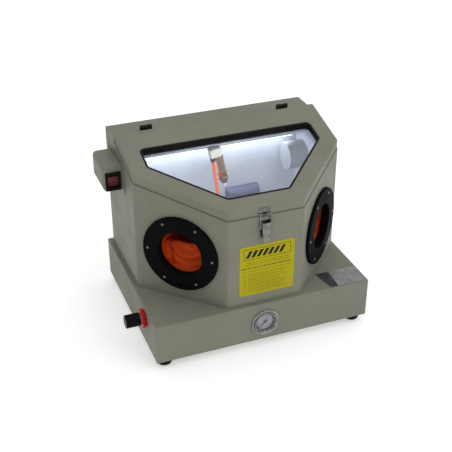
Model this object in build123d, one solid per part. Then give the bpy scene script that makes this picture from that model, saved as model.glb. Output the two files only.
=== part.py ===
from build123d import *
import math
import os

# Bench-top blast cabinet. +Z up, +X to the operator's right, operator at -Y.
# Origin: centre of the base's footprint, on the surface that the feet stand on. Millimetres.

# ---------------------------------------------------------------- driving dimensions
sheet = 1.5                 # painted steel sheet
base_width = 600.0
base_depth = 465.0
base_low = 22.0             # underside of the bottom plate, on the feet
base_top = 135.0
cabinet_half = 287.0        # half width of the work cabinet
cabinet_front = -219.5
cabinet_back = 219.5
corner_cut = 184.5          # legs of the 45 degree corners that carry the gloves
rim_front = 391.6           # rim height at the front wall
lid_slope = 0.2735          # rise of rim and lid per mm towards the back
lid_depth = 22.8            # lid height, measured upright
lid_back = 123.5            # back edge of the lid
strip_front = 126.5         # front edge of the fixed top strip
strip_top = 492.0
side_reach = 353.0          # knob end on the left and hose spigot end on the right

bend = 5.0                  # outer radius of the cabinet's vertical edges
seam = 1.0                  # half of the gap between rim and lid
rim_flange = 20.0           # width of the inward flange round the top opening
window_inset = 47.0         # window edge from the cabinet's faces
window_back = 52.5
window_radius = 13.0
glass_depth = 15.0          # glass surface below the lid's top
glass_thick = 4.0

port_z = 270.0              # centre height of the glove ports
ring_outer = 105.0
ring_bore = 61.5
sleeve_radius = 63.4        # sleeve behind the ring, which the glove's cuff is stretched over
sleeve_depth = 14.0
ring_thick = 9.0
ring_screw_circle = 91.0    # radius
ring_screws = 6

foot_radius = 20.0
foot_x = 272.0
foot_y = 202.5

hinge_x = (-198.0, 194.0)
pin_y = 130.5
pin_z = 514.0
pin_radius = 1.5
hinge_half = 16.0           # half of a hinge's width
knuckle_gap = 2.8           # half of the gap between its outer knuckles
knuckle_radius = 5.2
inner_knuckle_radius = 3.6

latch_x = -4.0
lever_pin = (-226.5, 372.0)  # y, z of the lever's pin
loop_arm = 12.0              # lever pin to loop pivot
loop_top = 397.0             # height of the loop's bar in the hook
wire = 1.5                   # loop wire radius

gauge_x = -2.0
gauge_z = 75.5
gauge_flange = 39.0
dial_radius = 26.5

knob_y = -132.5
knob_z = 100.0
knob_radius = 17.7
collar_radius = 25.6

switch_y = 55.5              # front face of the switch box
switch_z = 410.0
switch_x = -313.5

exhaust_y = 172.5
exhaust_z = 333.0
spigot_radius = 31.5

gun_head = (-1.0, 117.5, 414.0)
gun_tilt = 11.0              # degrees from upright, towards +X

slack = 0.05                 # radial clearance of a screw in its hole

parts = {}
body_screws = []            # small screws and rivets that stay on the cabinet and base
lid_rivets = []             # rivets that move with the lid


# ---------------------------------------------------------------- helpers
def rim(y, above=0.0):
    """Height of the sloping rim line at depth y, plus an upright distance."""
    return rim_front + above + lid_slope * (y - cabinet_front)


def block(x0, x1, y0, y1, z0, z1):
    """Box between two corners."""
    centre = ((x0 + x1) / 2, (y0 + y1) / 2, (z0 + z1) / 2)
    return Pos(*centre) * Box(abs(x1 - x0), abs(y1 - y0), abs(z1 - z0))


def rod(start, direction, radius, length):
    """Cylinder that starts at a point and runs along a direction."""
    plane = Plane(origin=start, z_dir=direction)
    return extrude(plane * Circle(radius), amount=length)


def ring(start, direction, outer, inner, length):
    """Tube section that starts at a point and runs along a direction."""
    plane = Plane(origin=start, z_dir=direction)
    return extrude(plane * (Circle(outer) - Circle(inner)), amount=length)


def hexagonal(start, direction, across, length):
    """Hexagon prism; across is the distance over its flats."""
    plane = Plane(origin=start, z_dir=direction)
    return extrude(plane * RegularPolygon(across / math.sqrt(3), 6), amount=length)


def outline(inset, back, radius):
    """Plan of the cabinet, moved inwards, with its back edge at a given depth."""
    half = cabinet_half - inset
    front = cabinet_front + inset
    diagonal = cabinet_half - (cabinet_front + corner_cut) - inset * math.sqrt(2)
    side_y = half - diagonal
    front_x = front + diagonal
    corners = [
        (-half, back),
        (half, back),
        (half, side_y),
        (front_x, front),
        (-front_x, front),
        (-half, side_y),
    ]
    face = make_face(Polyline(*corners, close=True))
    if radius > 0:
        face = fillet(face.vertices(), radius)
    return face


def column(face, low, high):
    """Plan face pulled up between two heights."""
    return extrude(Plane.XY.offset(low) * face, amount=high - low)


def slab(low, high, front=-400.0, back=400.0):
    """Sloping layer parallel to the rim, between two upright distances from it."""
    corners = [
        (front, rim(front, low)),
        (back, rim(back, low)),
        (back, rim(back, high)),
        (front, rim(front, high)),
    ]
    return across(corners, 400.0)


def across(corners, half):
    """Side profile in y and z, pulled out to both sides along X."""
    side = Plane.YZ.offset(-half) * make_face(Polyline(*corners, close=True))
    return extrude(side, amount=2 * half)


def layer(inset, back, radius, low, high):
    """Part of the cabinet's plan that lies in one sloping layer."""
    return column(outline(inset, back, radius), 300, 600) & slab(low, high)


def port_plane(side, out=0.0):
    """Plane on a glove port's face, with z pointing out of the cabinet."""
    half_cut = corner_cut / 2
    centre_x = side * (cabinet_half - half_cut)
    centre_y = cabinet_front + half_cut
    leg = 1 / math.sqrt(2)
    origin = (centre_x + side * leg * out, centre_y - leg * out, port_z)
    return Plane(origin=origin, x_dir=(leg, side * leg, 0), z_dir=(side * leg, -leg, 0))


def on_circle(radius, count, start=0.0):
    """Points evenly spaced on a circle."""
    step = 2 * math.pi / count
    return [
        (radius * math.cos(start + k * step), radius * math.sin(start + k * step))
        for k in range(count)
    ]


def tube_path(points):
    """Line through hand-placed points, with an arc at each corner as large as its runs allow."""
    radii = []
    for before, here, after in zip(points, points[1:], points[2:]):
        into = Vector(*here) - Vector(*before)
        out = Vector(*after) - Vector(*here)
        turn = math.radians(into.get_angle(out))
        radii.append(0.45 * min(into.length, out.length) / math.tan(turn / 2))
    path = FilletPolyline(*points, radius=radii)
    return path, radii


def hose(name, points, radius):
    """Flexible line of round section along its route."""
    path, radii = tube_path(points)
    start = Vector(*points[0])
    along = Vector(*points[1]) - start
    section = Plane(origin=start, z_dir=along) * Circle(radius)
    solid = sweep(section, path=path)
    expected = math.pi * radius ** 2 * path.length
    print(f"{name}: {path.length:.0f} mm long, tightest arc {min(radii):.0f} mm,"
          f" volume {solid.volume / expected:.3f} of section times length")
    return solid


def save(name, *solids):
    """Keep one node: a solid, or a group of separate ones."""
    flat = []
    for item in solids:
        flat.extend(item.solids())
    parts[name] = flat[0] if len(flat) == 1 else Compound(children=flat)


def pan_screw(start, direction, head, head_height, shank, length):
    """Round-headed screw: start lies under the head and the shank runs along the direction."""
    back = tuple(-c for c in direction)
    cap = rod(start, back, head, head_height)
    rim_edges = cap.edges().filter_by(GeomType.CIRCLE)
    top = rim_edges.sort_by(lambda e: (e.center() - Vector(*start)).length)[-1]
    cap = fillet(top, head_height * 0.6)
    return cap + rod(start, direction, shank, length)


# ---------------------------------------------------------------- base
hopper_half = 200.0
hopper_front = -140.0
hopper_back = 160.0
plate_low = base_low
plate_top = base_low + sheet
housing_low = plate_top
air_drop = (-272.0, 160.0)  # where the gun's air hose passes through the floor
air_hose_radius = 4.0
inlet_x = -250.0
inlet_z = 80.0
inlet_radius = 9.0
neck_radius = 14.0
case_radius = 31.0


def make_base():
    half = base_width / 2
    deep = base_depth / 2
    outer = block(-half, half, -deep, deep, housing_low, base_top)
    outer = fillet(outer.edges().filter_by(Axis.Z), 3.0)
    outer = fillet(outer.faces().sort_by(Axis.Z)[-1].edges(), 3.0)
    inner = block(-half + sheet, half - sheet, -deep + sheet, deep - sheet,
                  housing_low + sheet, base_top - sheet)
    mouth = block(-half + 20, half - 20, -deep + 20, deep - 20, housing_low - 1, housing_low + 5)
    feed = block(-hopper_half, hopper_half, hopper_front, hopper_back, base_top - 5, base_top + 1)
    feed &= column(outline(26, 188.0, 8), base_top - 6, base_top + 2)
    body = outer - inner - mouth - feed
    body -= rod((gauge_x, -deep - 1, gauge_z), (0, 1, 0), case_radius + 0.3, 5)
    body -= rod((-half - 1, knob_y, knob_z), (1, 0, 0), neck_radius + slack, 5)
    body -= rod((inlet_x, deep + 1, inlet_z), (0, -1, 0), inlet_radius + slack, 5)
    body -= rod((air_drop[0], air_drop[1], base_top - 3), (0, 0, 1), air_hose_radius + 3, 6)
    for x in (-foot_x, foot_x):
        for y in (-foot_y, foot_y):
            body -= rod((x, y, housing_low - 1), (0, 0, 1), 2.5 + slack, 5)
    save("base_housing", body)

    plate = block(-half + 2, half - 2, -deep + 2, deep - 2, plate_low, plate_top)
    feet = []
    screws = []
    for x in (-foot_x, foot_x):
        for y in (-foot_y, foot_y):
            plate -= rod((x, y, plate_low - 1), (0, 0, 1), 2.5 + slack, 4)
            feet.append(make_foot(x, y))
            screws.append(pan_screw((x, y, 10.0), (0, 0, 1), 5.0, 3.2, 2.5, 20.0))
    save("bottom_plate", plate)
    save("rubber_feet", *feet)
    body_screws.extend(screws)

    top_face = Plane.XY.offset(base_top - sheet - 0.1)
    centre_y = (hopper_front + hopper_back) / 2
    depth = hopper_back - hopper_front
    top = top_face * Pos(0, centre_y) * Rectangle(2 * hopper_half - 2, depth - 2)
    low = Plane.XY.offset(36) * Pos(0, centre_y) * Rectangle(110, 90)
    inner_top = top_face.offset(0.01) * Pos(0, centre_y) * Rectangle(2 * hopper_half - 5, depth - 5)
    inner_low = Plane.XY.offset(37.2) * Pos(0, centre_y) * Rectangle(107, 87)
    funnel = loft([low, top]) - loft([inner_low, inner_top])
    lip = block(-hopper_half - 14, hopper_half + 14, hopper_front - 14, hopper_back + 14,
                base_top - sheet - 1.3, base_top - sheet - 0.1)
    lip -= block(-hopper_half + 2.5, hopper_half - 2.5, hopper_front + 2.5, hopper_back - 2.5, 100, 150)
    save("media_hopper", funnel + lip)


def make_foot(x, y):
    """Rubber foot: rounded at the floor, with a counterbore for its screw."""
    foot = rod((x, y, 0), (0, 0, 1), foot_radius, base_low)
    low_edge = foot.edges().filter_by(GeomType.CIRCLE).sort_by(Axis.Z)[0]
    foot = fillet(low_edge, 7.0)
    foot -= rod((x, y, -1), (0, 0, 1), 6.5, 11)
    foot -= rod((x, y, -1), (0, 0, 1), 2.5 + slack, 40)
    return foot


# ---------------------------------------------------------------- cabinet
vent_x = (60.0, 160.0)
vent_z = (176.0, 226.0)
wire_y = 190.0              # hole for the lamp's wires
wire_z = 414.0
wire_hole = 5.0
gun_foot_front = 103.0


def body_profile(inset):
    """Side profile of the cabinet: sloping rim, then the level strip at the back."""
    return [
        (-300, base_top + inset),
        (-300, rim(-300, -seam - inset)),
        (strip_front + inset, rim(strip_front + inset, -seam - inset)),
        (strip_front + inset, strip_top - inset),
        (300, strip_top - inset),
        (300, base_top + inset),
    ]


def make_cabinet():
    outer = column(outline(0, cabinet_back, bend), base_top, 600) & across(body_profile(0), 400)
    inner = column(outline(sheet, cabinet_back - sheet, bend - sheet), base_top, 600)
    inner = inner & across(body_profile(sheet), 400)
    shell = outer - inner
    shell -= column(outline(rim_flange, 104.0, 15), 300, 600)
    shell -= column(outline(30, 190.0, 15), base_top - 1, base_top + 5)
    shell -= rod((air_drop[0], air_drop[1], base_top - 1), (0, 0, 1), air_hose_radius + 3, 5)
    shell -= rod((-cabinet_half - 1, wire_y, wire_z), (1, 0, 0), wire_hole, 5)
    shell -= rod((cabinet_half - 5, exhaust_y, exhaust_z), (1, 0, 0), spigot_radius - 1, 10)
    for k in range(5):
        low = vent_z[0] + 4 + k * 9
        shell -= block(vent_x[0] + 8, vent_x[1] - 8, cabinet_back - 4, cabinet_back + 2, low, low + 4)
    for side in (-1, 1):
        face = port_plane(side, 5)
        shell -= extrude(face * Circle(sleeve_radius + 0.2), amount=-12)
        for x, y in on_circle(ring_screw_circle, ring_screws):
            shell -= extrude(face * Pos(x, y) * Circle(2.5 + slack), amount=-12)
    save("cabinet_shell", shell)

    plate = column(outline(3.0, 188.0, 4), base_top + sheet, base_top + sheet + 2)
    plate -= block(-400, -255, 140, 200, 100, 200)
    for row in range(13):
        y = -195 + row * 28
        reach = 268 if y > -50 else 268 - (-50 - y)
        count = int((2 * reach - 20) // 46)
        for k in range(count):
            x = (k - (count - 1) / 2) * 46
            if abs(x) > 23 or not 40 < y < 130:
                plate -= Pos(x, y, base_top + 2) * extrude(SlotOverall(38, 14), amount=8, both=True)
    plate -= Pos(-6, 85, base_top + 2) * extrude(SlotOverall(90, 44, rotation=90), amount=8, both=True)
    save("work_grate", plate)


def make_vents():
    box = block(vent_x[0], vent_x[1], 190, cabinet_back - sheet, vent_z[0], vent_z[1] + 12)
    front = box.edges().filter_by(Axis.X).sort_by(Axis.Y)[:2].sort_by(Axis.Z)[-1]
    box = fillet(front, 22)
    hollow = Pos(0, 1.3, -1.3) * box & block(vent_x[0] + 1.3, vent_x[1] - 1.3, 0, 300, 0, 400)
    save("vent_baffle", box - hollow)

    plane = (cabinet_half, exhaust_y, exhaust_z)
    out = (1, 0, 0)
    spigot = ring(plane, out, spigot_radius, spigot_radius - 2, side_reach - cabinet_half)
    spigot += ring(plane, out, 44, spigot_radius - 2, 2.5)
    filter_length = 57.0
    inner = (cabinet_half - sheet, exhaust_y, exhaust_z)
    can = ring(inner, (-1, 0, 0), 41, 39.4, filter_length)
    can += rod((cabinet_half - sheet - filter_length + 1.6, exhaust_y, exhaust_z), (-1, 0, 0), 41, 1.6)
    for y, z in on_circle(38, 4, math.pi / 4):
        at = (cabinet_half + 2.5, exhaust_y + y, exhaust_z + z)
        spigot -= rod(at, (-1, 0, 0), 2 + slack, 5)
        body_screws.append(pan_screw(at, (-1, 0, 0), 3.6, 2.2, 2.0, 2.4))
    save("exhaust_spigot", spigot)
    save("filter_can", can)


# ---------------------------------------------------------------- lid
lid_inset = 2.0
retainer_low = 21.5         # underside of the glass retainer below the lid's top
stud_radius = 2.5


def below(depth):
    """Upright distance from the rim line of a level below the lid's top."""
    return lid_depth - depth


def stud_points():
    """Plan points of the studs that hold the glass retainer."""
    reach = window_inset - 17.0
    half = cabinet_half - reach
    front = cabinet_front + reach
    diagonal = cabinet_half - (cabinet_front + corner_cut) - reach * math.sqrt(2)
    side_y = half - diagonal
    front_x = front + diagonal
    right = [
        (half, window_back - 15),
        (half, side_y + 6),
        ((half + front_x) / 2, (side_y + front) / 2),
        (front_x - 6, front),
    ]
    back = [(x, window_back + 17.0) for x in (-150, 0, 150)]
    return [(s * x, y) for s in (-1, 1) for x, y in right] + back


def make_lid():
    top = below(0)
    outer = layer(lid_inset, lid_back, bend, seam, top)
    cavity = layer(lid_inset + sheet, lid_back - sheet, bend - sheet, -60, top - sheet)
    window = outline(window_inset, window_back, window_radius)
    tray = outer - cavity - column(window, 300, 600)
    for x in hinge_x:
        for dx in (-12, 12):
            tray -= rod((x + dx, lid_back - 4, 495), (0, 1, 0), 1.6 + slack, 8)
    for dx in (-11, 11):
        tray -= rod((latch_x + dx, cabinet_front - 2, 405), (0, 1, 0), 1.6 + slack, 8)
    save("lid_tray", tray)

    wall = layer(window_inset + 0.1, window_back - 0.1, window_radius, below(glass_depth), top + 0.8)
    lip = layer(window_inset - 1.8, window_back + 1.8, window_radius + 1.8, top + 0.05, top + 0.8)
    foot = layer(window_inset - 9, window_back + 9, window_radius, below(glass_depth), below(glass_depth - 3))
    bore = column(outline(window_inset + 3, window_back - 3, window_radius - 3), 300, 600)
    save("window_gasket", wall + lip + foot - bore)

    glass_top = below(glass_depth + 0.1)
    glass_low = below(glass_depth + glass_thick)
    save("window_glass", layer(window_inset - 9, window_back + 9, window_radius, glass_low, glass_top))

    retainer = layer(lid_inset + 5, lid_back - 5, 5, below(retainer_low), below(retainer_low) + 2)
    retainer -= column(outline(window_inset + 4, window_back - 4, window_radius), 300, 600)
    fasteners = []
    for x, y in stud_points():
        z_top = rim(y, below(sheet + 0.8))
        retainer -= rod((x, y, z_top - 40), (0, 0, 1), stud_radius + slack, 60)
        z_low = rim(y, below(retainer_low) - 5.5)
        fasteners.append(rod((x, y, z_low), (0, 0, 1), stud_radius, z_top - z_low))
        nut = hexagonal((x, y, rim(y, below(retainer_low) - 5.2)), (0, 0, 1), 8.0, 4)
        fasteners.append(nut - rod((x, y, z_low - 5), (0, 0, 1), stud_radius + slack, 20))
    save("glass_retainer", retainer)
    save("retainer_studs", *fasteners)

    low = -seam
    seal = layer(5, 119.0, 4, low, below(retainer_low) - 0.3)
    save("lid_seal", seal - column(outline(17, 107.0, 8), 300, 600))


def make_hinges():
    lid_leaves, body_leaves, pins = [], [], []
    for x in hinge_x:
        pin_at = (x, pin_y, pin_z)
        low_x, arm = x - hinge_half, knuckle_gap - 0.2
        leaf = block(low_x, x + hinge_half, lid_back + 0.1, lid_back + 1.9, 488, 508)
        leaf += block(x - arm, x + arm, lid_back + 0.1, pin_y, 502, pin_z + 1)
        leaf += rod((x - arm, pin_y, pin_z), (1, 0, 0), inner_knuckle_radius, 2 * arm)
        leaf -= rod((x - 20, pin_y, pin_z), (1, 0, 0), pin_radius + slack, 40)
        foot = block(low_x, x + hinge_half, strip_front + 0.4, 143, strip_top, strip_top + 2)
        wide = hinge_half - knuckle_gap
        for from_x in (low_x, x + knuckle_gap):
            foot += block(from_x, from_x + wide, strip_front + 0.4, pin_y + knuckle_radius, strip_top, pin_z)
            foot += rod((from_x, pin_y, pin_z), (1, 0, 0), knuckle_radius, wide)
        foot -= rod((x - 20, pin_y, pin_z), (1, 0, 0), pin_radius + slack, 40)
        pins.append(rod((low_x - 0.5, pin_y, pin_z), (1, 0, 0), pin_radius, 2 * hinge_half + 1))
        for dx in (-12, 12):
            hole = (x + dx, lid_back + 1.9, 495)
            leaf -= rod(hole, (0, -1, 0), 1.6 + slack, 5)
            rivet = rod((x + dx, lid_back + 1.9, 495), (0, -1, 0), 1.6, 3.4)
            lid_rivets.append(rivet + rod((x + dx, lid_back - sheet, 495), (0, -1, 0), 3, 1.2))
            at = (x + dx, 139, strip_top + 2)
            foot -= rod(at, (0, 0, -1), 1.6 + slack, 5)
            body_screws.append(pan_screw(at, (0, 0, -1), 2.8, 1.6, 1.6, 1.9))
        lid_leaves.append(leaf)
        body_leaves.append(foot)
    save("hinge_lid_leaves", *lid_leaves)
    save("hinge_body_leaves", *body_leaves)
    save("hinge_pins", *pins)


# ---------------------------------------------------------------- draw latch
def make_latch():
    face = cabinet_front
    lid_face = cabinet_front + lid_inset
    pin_at_y, pin_at_z = lever_pin
    bar_y = -224.5

    keeper = block(latch_x - 18, latch_x + 18, lid_face - 1.5, lid_face - 0.05, 395.5, 413.0)
    keeper = fillet(keeper.edges().filter_by(Axis.Y), 6.0)
    shelf = block(latch_x - 6, latch_x + 6, bar_y - 3.3, lid_face - 0.05, 393.6, 395.3)
    lip = block(latch_x - 6, latch_x + 6, bar_y - 3.3, bar_y - 1.8, 393.6, 395.42)
    web = block(latch_x - 6, latch_x + 6, lid_face - 1.5, lid_face - 0.05, 393.6, 398)
    keeper = keeper + shelf + lip + web
    base = block(latch_x - 13, latch_x + 13, face - 1.5, face, 322, 386)
    base = fillet(base.edges().filter_by(Axis.Y), 3.0)
    for side in (-1, 1):
        ear_x = latch_x + side * 11.5
        ear = block(ear_x - 0.75, ear_x + 0.75, pin_at_y - 3.2, face - 1, pin_at_z - 6, pin_at_z + 6)
        base += ear
    base += rod((latch_x - 12.6, pin_at_y, pin_at_z), (1, 0, 0), pin_radius, 25.2)
    for dz in (328, 344):
        at = (latch_x, face - 1.5, dz)
        base -= rod((latch_x, face - 4, dz), (0, 1, 0), 1.6 + slack, 5)
        body_screws.append(rod(at, (0, -1, 0), 2.8, 0.9) + rod(at, (0, 1, 0), 1.6, 1.4))
    save("latch_base", base)
    for dx in (-11, 11):
        at = (latch_x + dx, lid_face - 1.5, 405)
        keeper -= rod((latch_x + dx, lid_face - 4, 405), (0, 1, 0), 1.6 + slack, 5)
        head = rod(at, (0, -1, 0), 3.2, 1.2)
        lid_rivets.append(head + rod(at, (0, 1, 0), 1.6, 4))
    save("latch_keeper", keeper)

    # The lever: a channel between the ears that narrows to a curled grip at its lower end.
    pivot_z = pin_at_z - loop_arm
    cover = [
        (pin_at_y - 4.2, pin_at_z + 2.8),
        (pin_at_y - 4.2, 338),
        (pin_at_y - 7.6, 321),
        (pin_at_y - 6.0, 320.4),
        (pin_at_y - 2.6, 338),
        (pin_at_y - 2.6, pin_at_z + 2.8),
    ]
    front = make_face(Polyline((-10.3, 390), (-10.3, 356), (-8.0, 320.4), (8.0, 320.4), (10.3, 356), (10.3, 390), close=True))
    front = fillet(front.vertices().sort_by(Axis.Y)[:2], 5.0)
    lever = Pos(latch_x, 0, 0) * across(cover, 10.3)
    lever &= extrude(Plane.XZ.offset(200) * Pos(latch_x, 0) * front, amount=60)
    for side in (-1, 1):
        wall_x = latch_x + side * 9.65
        cheek = block(wall_x - 0.65, wall_x + 0.65, pin_at_y - 2.7, pin_at_y + 3.4, pivot_z - 5, pin_at_z + 3.4)
        lever += cheek
    lever -= rod((latch_x - 20, pin_at_y, pin_at_z), (1, 0, 0), pin_radius + slack, 40)
    lever -= rod((latch_x - 20, pin_at_y, pivot_z), (1, 0, 0), wire + slack, 40)
    save("latch_lever", lever)

    # The wire loop: a bar in the hook, two legs outside the ears and a cross bar through the lever.
    half = 14.5
    across_bar = rod((latch_x - half, pin_at_y, pivot_z), (1, 0, 0), wire, 2 * half)
    loop = across_bar + rod((latch_x - half, bar_y, loop_top), (1, 0, 0), wire, 2 * half)
    for side in (-1, 1):
        x = latch_x + side * half
        low = Vector(x, pin_at_y, pivot_z)
        high = Vector(x, bar_y, loop_top)
        leg = high - low
        loop += rod(tuple(low), tuple(leg), wire, leg.length)
        loop += Pos(*low) * Sphere(wire)
        loop += Pos(*high) * Sphere(wire)
    save("latch_loop", loop)


# ---------------------------------------------------------------- glove ports
def make_gloves():
    rings, backs, screws = [], [], []
    for side, word in ((-1, "left"), (1, "right")):
        face = port_plane(side)
        flange = extrude(face * (Circle(ring_outer) - Circle(ring_bore)), amount=ring_thick)
        outer_edges = flange.faces().sort_by(lambda f: f.center().dot(face.z_dir))[-1].edges()
        flange = fillet(outer_edges, 3.0)
        flange += extrude(port_plane(side, 1) * (Circle(sleeve_radius) - Circle(ring_bore)), amount=-sleeve_depth - 1)
        back = extrude(port_plane(side, -sheet - 1.6) * (Circle(100) - Circle(sleeve_radius + 0.2)), amount=-2)
        for x, y in on_circle(ring_screw_circle, ring_screws):
            spot = Pos(x, y)
            flange -= extrude(face * spot * Circle(2.5 + slack), amount=ring_thick + 1)
            flange -= extrude(port_plane(side, ring_thick) * spot * Circle(6), amount=-1.5)
            back -= extrude(face * spot * Circle(2.5 + slack), amount=-10)
            seat = port_plane(side, ring_thick - 1.5)
            origin = tuple((seat * spot).position)
            inward = tuple(-seat.z_dir)
            screws.append(pan_screw(origin, inward, 5.2, 3.0, 2.5, 13.0))
        save("glove_ring_" + word, flange)
        backs.append(back)
        save("glove_" + word, make_glove(side))
    save("port_backing_rings", *backs)
    save("port_screws", *screws)


cuff_radius = 66.0
cuff_bore = sleeve_radius + slack
cuff_start = 5.3
hand_start = 74.0


def make_glove(side):
    """Rubber glove pushed into the cabinet: cuff over the sleeve, then the folded hand. Soft part, plain shape."""
    start = port_plane(side, -cuff_start)
    band = extrude(start * (Circle(cuff_radius) - Circle(cuff_bore)), amount=cuff_start - sleeve_depth - 0.5)
    neck = port_plane(side, -sleeve_depth - 0.5)
    length = hand_start - sleeve_depth - 0.5
    arm = extrude(neck * Circle(cuff_radius), amount=-length, taper=10)
    inside = extrude(neck * Circle(cuff_bore), amount=-length + 3, taper=10)
    end = port_plane(side, -hand_start + 0.1)
    hand = extrude(end * Circle(46), amount=-46, taper=12)
    return band + (arm - inside) + hand


# ---------------------------------------------------------------- gauge
def make_gauge():
    deep = base_depth / 2
    front = -deep
    out = (0, -1, 0)
    into = (0, 1, 0)
    centre = (gauge_x, front, gauge_z)
    case = ring(centre, into, case_radius, case_radius - 1.5, 26)
    case += rod((gauge_x, front + 26, gauge_z), into, case_radius, 1.5)
    case += rod((gauge_x, front + 27, gauge_z), into, 5.0, 13)
    case += hexagonal((gauge_x, front + 27, gauge_z), into, 14, 8)
    save("gauge_case", case)
    profile = make_face(Polyline(
        (dial_radius, 5.0), (dial_radius + 2.5, 8.0), (dial_radius + 5.5, 8.0),
        (dial_radius + 7.0, 4.0), (gauge_flange, 2.2), (gauge_flange, 0.1), (dial_radius, 0.1),
        close=True))
    upright = Plane(origin=centre, x_dir=(1, 0, 0), z_dir=(0, 0, 1)) * mirror(profile, about=Plane.XZ)
    save("gauge_bezel", revolve(upright, axis=Axis(centre, (0, -1, 0))))
    dial = rod((gauge_x, front + 4.0, gauge_z), into, 28.5, 1.0)
    dial -= rod((gauge_x, front + 2.0, gauge_z), into, 1.0 + slack, 6)
    save("gauge_dial", dial)
    save("gauge_lens", rod((gauge_x, front - 2.0, gauge_z), out, dial_radius - 0.1, 1.8))
    shaft = rod((gauge_x, front + 8, gauge_z), out, 1.0, 8)
    angle = math.radians(225)
    tip = Vector(gauge_x + 21 * math.cos(angle), 0, gauge_z + 21 * math.sin(angle))
    tail = Vector(gauge_x - 9 * math.cos(angle), 0, gauge_z - 9 * math.sin(angle))
    side = Vector(math.sin(angle), 0, -math.cos(angle))
    corners = [tail + side * 1.8, tip + side * 0.4, tip - side * 0.4, tail - side * 1.8]
    blade = Plane.XZ.offset(-front - 1.2) * make_face(
        Polyline(*[(c.X, c.Z) for c in corners], close=True))
    needle = extrude(blade, amount=0.7)
    needle += rod((gauge_x, front - 0.5, gauge_z), into, 3.0, 2.0) + shaft
    save("gauge_needle", needle)


# ---------------------------------------------------------------- regulator and air lines
reg_block = (-297.0, -253.0, -153.0, -112.0, 79.0, 121.0)


def make_regulator():
    wall = -base_width / 2
    centre = (wall, knob_y, knob_z)
    out = (-1, 0, 0)
    x0, x1, y0, y1, z0, z1 = reg_block
    body = fillet(block(x0, x1, y0, y1, z0, z1).edges().filter_by(Axis.X), 5.0)
    body += rod((x0 + 1, knob_y, knob_z), out, neck_radius, x0 + 1 - wall + 13)
    body += rod((wall - 5, knob_y, knob_z), out, 5.0, 36)
    save("regulator_body", body)
    collar = ring((wall - 4, knob_y, knob_z), out, collar_radius, neck_radius + slack, 7)
    outer = collar.edges().filter_by(GeomType.CIRCLE).group_by(Axis.X)[0].sort_by(lambda e: -e.radius)[0]
    collar = fillet(outer, 2.0) + ring((wall - 0.05, knob_y, knob_z), out, 20.0, neck_radius + slack, 4.2)
    save("regulator_lock_ring", collar)
    start = wall - 14.4
    knob = rod((start, knob_y, knob_z), out, knob_radius, side_reach + start)
    end_edge = knob.edges().filter_by(GeomType.CIRCLE).sort_by(Axis.X)[0]
    knob = fillet(end_edge, 3.0)
    for y, z in on_circle(knob_radius + 0.4, 30):
        knob -= rod((start - 4, knob_y + y, knob_z + z), out, 1.1, 40)
    knob += rod((start, knob_y, knob_z), out, knob_radius - 3, 30)
    knob -= rod((start + 1, knob_y, knob_z), out, 5.0 + slack, 28)
    save("regulator_knob", knob)

    deep = base_depth / 2
    at = (inlet_x, deep, inlet_z)
    inlet = hexagonal(at, (0, 1, 0), 24, 8) + rod(at, (0, 1, 0), 10.5, 13)
    inlet += rod(at, (0, -1, 0), inlet_radius, 20)
    inlet -= rod((inlet_x, deep + 14, inlet_z), (0, -1, 0), 5.8, 16)
    save("air_inlet", inlet)

    back = deep - 20.1
    reach_in = reg_block[3] + 0.1
    supply = [
        (inlet_x, back, inlet_z), (inlet_x - 1, 160, inlet_z + 1), (inlet_x - 4, 105, inlet_z + 5),
        (inlet_x - 8, 50, inlet_z + 8), (inlet_x - 12, -5, inlet_z + 10),
        (inlet_x - 14, -60, inlet_z + 11), (inlet_x - 14, reach_in, inlet_z + 12),
    ]
    save("supply_hose", hose("supply_hose", supply, air_hose_radius))
    x, y, z = gun_head
    down_x, down_y = air_drop
    feed = [
        (x, y + 13.1, z), (x, 150, z + 2), (x - 7, 170, z + 14), (x - 23, 184, z + 31),
        (x - 49, 190, z + 38), (x - 89, 192, z + 40), (x - 146, 192, z + 40), (-203, 190, z + 39),
        (-239, 182, z + 38), (-260, 172, z + 26), (down_x, 162, z + 5), (down_x, down_y, z - 24),
        (down_x - 1, down_y - 1, z - 74), (down_x + 1, down_y, z - 124), (down_x, down_y + 1, z - 174),
        (down_x, down_y, z - 224), (down_x + 0.4, down_y, 157), (down_x, down_y, 120), (-272.5, 147, 97.5),
        (-273.5, 124.5, 84.5), (-276, 98, 84.5), (-279, 60, 88), (-282, 12, 94), (-284, -40, 100),
        (-284, -76, 103), (-284, reach_in, 104),
    ]
    save("gun_air_hose", hose("gun_air_hose", feed, air_hose_radius))


def make_gauge_line():
    """Small line from the regulator's front port to the back of the gauge."""
    deep = base_depth / 2
    end = -deep + 40.1
    line = [
        (-262, -153.1, 96), (-262, -169.5, 96), (-254, -183.5, 95.5), (-240, -191.5, 94.5), (-215, -192, 92),
        (-170, -187, 88), (-120, -173, 84), (-75, -157, 80), (-48, -150.5, 78), (-24, -150, 76.5),
        (-10, -158, 76), (gauge_x, -172, 75.5), (gauge_x, end, 75.5),
    ]
    save("gauge_hose", hose("gauge_hose", line, 2.5))


# ---------------------------------------------------------------- blast gun
def along_gun(distance):
    """Point on the gun's axis, counted down from the head."""
    lean = math.radians(gun_tilt)
    x, y, z = gun_head
    return (x + distance * math.sin(lean), y, z - distance * math.cos(lean))


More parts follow.
